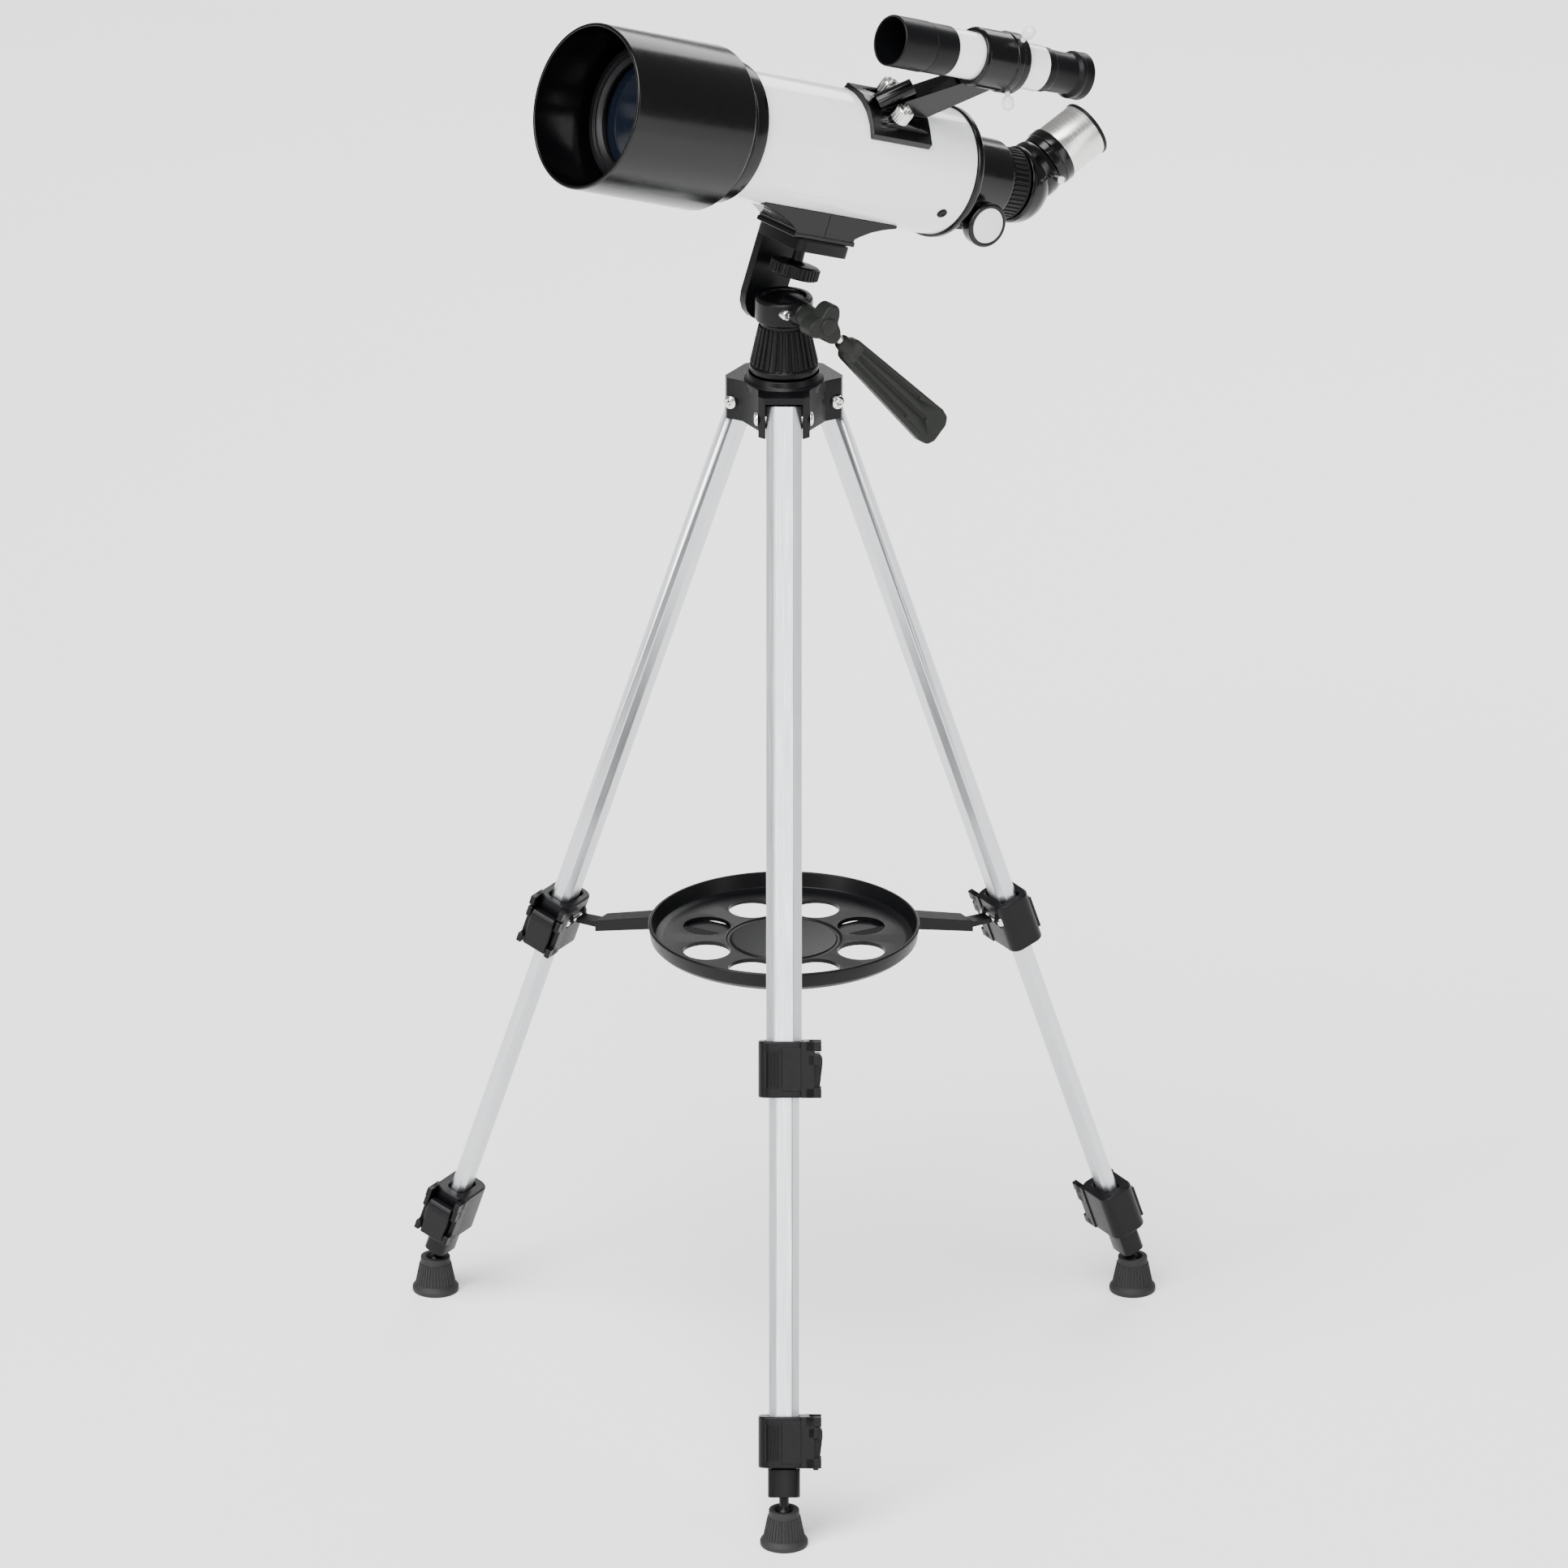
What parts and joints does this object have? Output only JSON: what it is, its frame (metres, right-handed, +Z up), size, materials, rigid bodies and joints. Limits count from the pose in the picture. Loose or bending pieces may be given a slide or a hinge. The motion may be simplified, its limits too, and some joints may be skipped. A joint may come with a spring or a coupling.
{
  "type": "telescope on tripod",
  "caption": "Small refracting telescope with finder and erecting diagonal on a pan and tilt head and a splayed aluminium tripod with accessory tray",
  "frame": {"origin": "on the ground, under the middle of the whole object's box", "axes": "+Z up, the front leg towards -Y, the telescope pointing towards -X and -Y"},
  "size_m": [0.4652, 0.4127, 0.9049],
  "materials": {
    "gloss_black": "polished moulding",
    "white_enamel": "gloss enamel",
    "leg_aluminium": "satin drawn",
    "eyepiece_metal": "satin turned",
    "steel": "bright",
    "lens_glass": "coated",
    "foot_rubber": "matt",
    "satin_black": "satin moulding"
  },
  "bodies": {
    "root": {"tripod_crown": "satin_black", "fork_screw_front": "steel", "fork_screw_right": "steel", "fork_screw_left": "steel", "pan_bolt": "steel"},
    "collar": {"pan_lock_collar": "satin_black"},
    "pan": {"pan_base": "satin_black"},
    "telescope": {"tilt_bracket": "satin_black", "tilt_bolt": "steel", "handle_hub": "satin_black", "tube_saddle": "gloss_black", "main_tube": "white_enamel", "dew_shield": "gloss_black", "objective_cell": "satin_black", "objective_lens": "lens_glass", "focuser_body": "gloss_black", "finder_bracket": "gloss_black", "finder_tube": "white_enamel", "finder_hood": "satin_black", "finder_lens": "lens_glass"},
    "handle": {"pan_handle": "satin_black"},
    "camera_screw": {"camera_screw": "satin_black"},
    "pinion": {"pinion_shaft": "steel", "focus_knob_left": "satin_black", "focus_knob_right": "satin_black"},
    "draw": {"draw_tube": "satin_black"},
    "diagonal": {"diagonal_housing": "gloss_black", "erecting_prism": "lens_glass"},
    "eyepiece": {"eyepiece_barrel": "eyepiece_metal", "eye_lens": "lens_glass"},
    "finder_focus": {"finder_eyepiece": "satin_black"},
    "tray": {"accessory_tray": "satin_black", "tray_screw": "satin_black", "tray_arm_front": "satin_black", "tray_arm_right": "satin_black", "tray_arm_left": "satin_black"},
    "leg_front": {"upper_tube_front": "leg_aluminium", "upper_clamp_front": "satin_black"},
    "upper_lever_front": {"upper_lever_front": "satin_black"},
    "mid_front": {"mid_tube_front": "leg_aluminium", "lower_clamp_front": "satin_black"},
    "lower_lever_front": {"lower_lever_front": "satin_black"},
    "lower_front": {"lower_tube_front": "satin_black"},
    "foot_front": {"foot_front": "foot_rubber"},
    "leg_right": {"upper_tube_right": "leg_aluminium", "upper_clamp_right": "satin_black"},
    "upper_lever_right": {"upper_lever_right": "satin_black"},
    "mid_right": {"mid_tube_right": "leg_aluminium", "lower_clamp_right": "satin_black"},
    "lower_lever_right": {"lower_lever_right": "satin_black"},
    "lower_right": {"lower_tube_right": "satin_black"},
    "foot_right": {"foot_right": "foot_rubber"},
    "leg_left": {"upper_tube_left": "leg_aluminium", "upper_clamp_left": "satin_black"},
    "upper_lever_left": {"upper_lever_left": "satin_black"},
    "mid_left": {"mid_tube_left": "leg_aluminium", "lower_clamp_left": "satin_black"},
    "lower_lever_left": {"lower_lever_left": "satin_black"},
    "lower_left": {"lower_tube_left": "satin_black"},
    "foot_left": {"foot_left": "foot_rubber"}
  },
  "joints": [
    {"name": "tray_removal", "type": "slide", "parent": "root", "child": "tray", "axis": [0, 0, 1], "range_m": [-0.72, 0]},
    {"name": "leg_fold_front", "type": "hinge", "parent": "root", "child": "leg_front", "pos_m": [0, 0.032, 0.64], "axis": [1, 0, 0], "range_deg": [0, 18.8]},
    {"name": "mid_slide_front", "type": "slide", "parent": "leg_front", "child": "mid_front", "axis": [0, -0.3397, -0.9405], "range_m": [-0.185, 0]},
    {"name": "lower_slide_front", "type": "slide", "parent": "mid_front", "child": "lower_front", "axis": [0, -0.3397, -0.9405], "range_m": [0, 0.175]},
    {"name": "upper_lever_front", "type": "hinge", "parent": "leg_front", "child": "upper_lever_front", "pos_m": [0.0196, -0.09879, 0.2779], "axis": [0, -0.9405, 0.3397], "range_deg": [0, 100]},
    {"name": "lower_lever_front", "type": "hinge", "parent": "mid_front", "child": "lower_lever_front", "pos_m": [0.0196, -0.17506, 0.06675], "axis": [0, -0.9405, 0.3397], "range_deg": [0, 100]},
    {"name": "foot_tilt_front", "type": "hinge", "parent": "lower_front", "child": "foot_front", "pos_m": [0, -0.19188, 0.02019], "axis": [1, 0, 0], "range_deg": [-24, 8]},
    {"name": "leg_fold_right", "type": "hinge", "parent": "root", "child": "leg_right", "pos_m": [0.02425, 0.074, 0.64], "axis": [-0.5, 0.866, 0], "range_deg": [0, 18.8]},
    {"name": "mid_slide_right", "type": "slide", "parent": "leg_right", "child": "mid_right", "axis": [0.2942, 0.1699, -0.9405], "range_m": [-0.185, 0]},
    {"name": "lower_slide_right", "type": "slide", "parent": "mid_right", "child": "lower_right", "axis": [0.2942, 0.1699, -0.9405], "range_m": [0, 0.175]},
    {"name": "upper_lever_right", "type": "hinge", "parent": "leg_right", "child": "upper_lever_right", "pos_m": [0.12772, 0.15637, 0.2779], "axis": [0.8145, 0.4703, 0.3397], "range_deg": [0, 100]},
    {"name": "lower_lever_right", "type": "hinge", "parent": "mid_right", "child": "lower_lever_right", "pos_m": [0.19377, 0.19451, 0.06675], "axis": [0.8145, 0.4703, 0.3397], "range_deg": [0, 100]},
    {"name": "foot_tilt_right", "type": "hinge", "parent": "lower_right", "child": "foot_right", "pos_m": [0.21813, 0.18594, 0.02019], "axis": [-0.5, 0.866, 0], "range_deg": [-24, 8]},
    {"name": "leg_fold_left", "type": "hinge", "parent": "root", "child": "leg_left", "pos_m": [-0.02425, 0.074, 0.64], "axis": [-0.5, -0.866, 0], "range_deg": [0, 18.8]},
    {"name": "mid_slide_left", "type": "slide", "parent": "leg_left", "child": "mid_left", "axis": [-0.2942, 0.1699, -0.9405], "range_m": [-0.185, 0]},
    {"name": "lower_slide_left", "type": "slide", "parent": "mid_left", "child": "lower_left", "axis": [-0.2942, 0.1699, -0.9405], "range_m": [0, 0.175]},
    {"name": "upper_lever_left", "type": "hinge", "parent": "leg_left", "child": "upper_lever_left", "pos_m": [-0.14732, 0.12242, 0.2779], "axis": [-0.8145, 0.4703, 0.3397], "range_deg": [0, 100]},
    {"name": "lower_lever_left", "type": "hinge", "parent": "mid_left", "child": "lower_lever_left", "pos_m": [-0.21337, 0.16056, 0.06675], "axis": [-0.8145, 0.4703, 0.3397], "range_deg": [0, 100]},
    {"name": "foot_tilt_left", "type": "hinge", "parent": "lower_left", "child": "foot_left", "pos_m": [-0.21813, 0.18594, 0.02019], "axis": [-0.5, -0.866, 0], "range_deg": [-24, 8]},
    {"name": "pan_lock", "type": "hinge", "parent": "root", "child": "collar", "pos_m": [0, 0.06, 0.6932], "axis": [0, 0, 1], "range_deg": [0, 40]},
    {"name": "pan", "type": "hinge", "parent": "root", "child": "pan", "pos_m": [0, 0.06, 0.6932], "axis": [0, 0, 1], "continuous": true},
    {"name": "tilt", "type": "hinge", "parent": "pan", "child": "telescope", "pos_m": [0, 0.06, 0.702], "axis": [0.5807, -0.8141, 0], "range_deg": [-30, 30]},
    {"name": "handle_twist", "type": "hinge", "parent": "telescope", "child": "handle", "pos_m": [0.02323, 0.02744, 0.702], "axis": [0.5676, 0.4048, -0.7169], "range_deg": [0, 90]},
    {"name": "camera_screw_turn", "type": "hinge", "parent": "telescope", "child": "camera_screw", "pos_m": [0.00696, 0.06496, 0.72549], "axis": [0.2784, 0.1986, 0.9397], "continuous": true},
    {"name": "focus_knob_turn", "type": "hinge", "parent": "telescope", "child": "pinion", "pos_m": [0.10149, 0.13239, 0.7375], "axis": [0.5807, -0.8141, 0], "range_deg": [0, 516]},
    {"name": "draw_slide", "type": "slide", "parent": "telescope", "child": "draw", "axis": [0.765, 0.5457, -0.342], "range_m": [0, 0.045]},
    {"name": "diagonal_turn", "type": "hinge", "parent": "draw", "child": "diagonal", "pos_m": [0.13655, 0.1574, 0.74471], "axis": [-0.765, -0.5457, 0.342], "continuous": true},
    {"name": "eyepiece_slide", "type": "slide", "parent": "diagonal", "child": "eyepiece", "axis": [0.7378, 0.5263, 0.4226], "range_m": [0, 0.03]},
    {"name": "finder_focus", "type": "slide", "parent": "telescope", "child": "finder_focus", "axis": [0.765, 0.5457, -0.342], "range_m": [0, 0.005]}
  ],
  "couplings": [
    {"joint": "leg_fold_front", "follows": "tray_removal", "rad_per_m": -0.45454},
    {"joint": "leg_fold_right", "follows": "tray_removal", "rad_per_m": -0.45454},
    {"joint": "leg_fold_left", "follows": "tray_removal", "rad_per_m": -0.45454},
    {"joint": "focus_knob_turn", "follows": "draw_slide", "rad_per_m": 200}
  ]
}
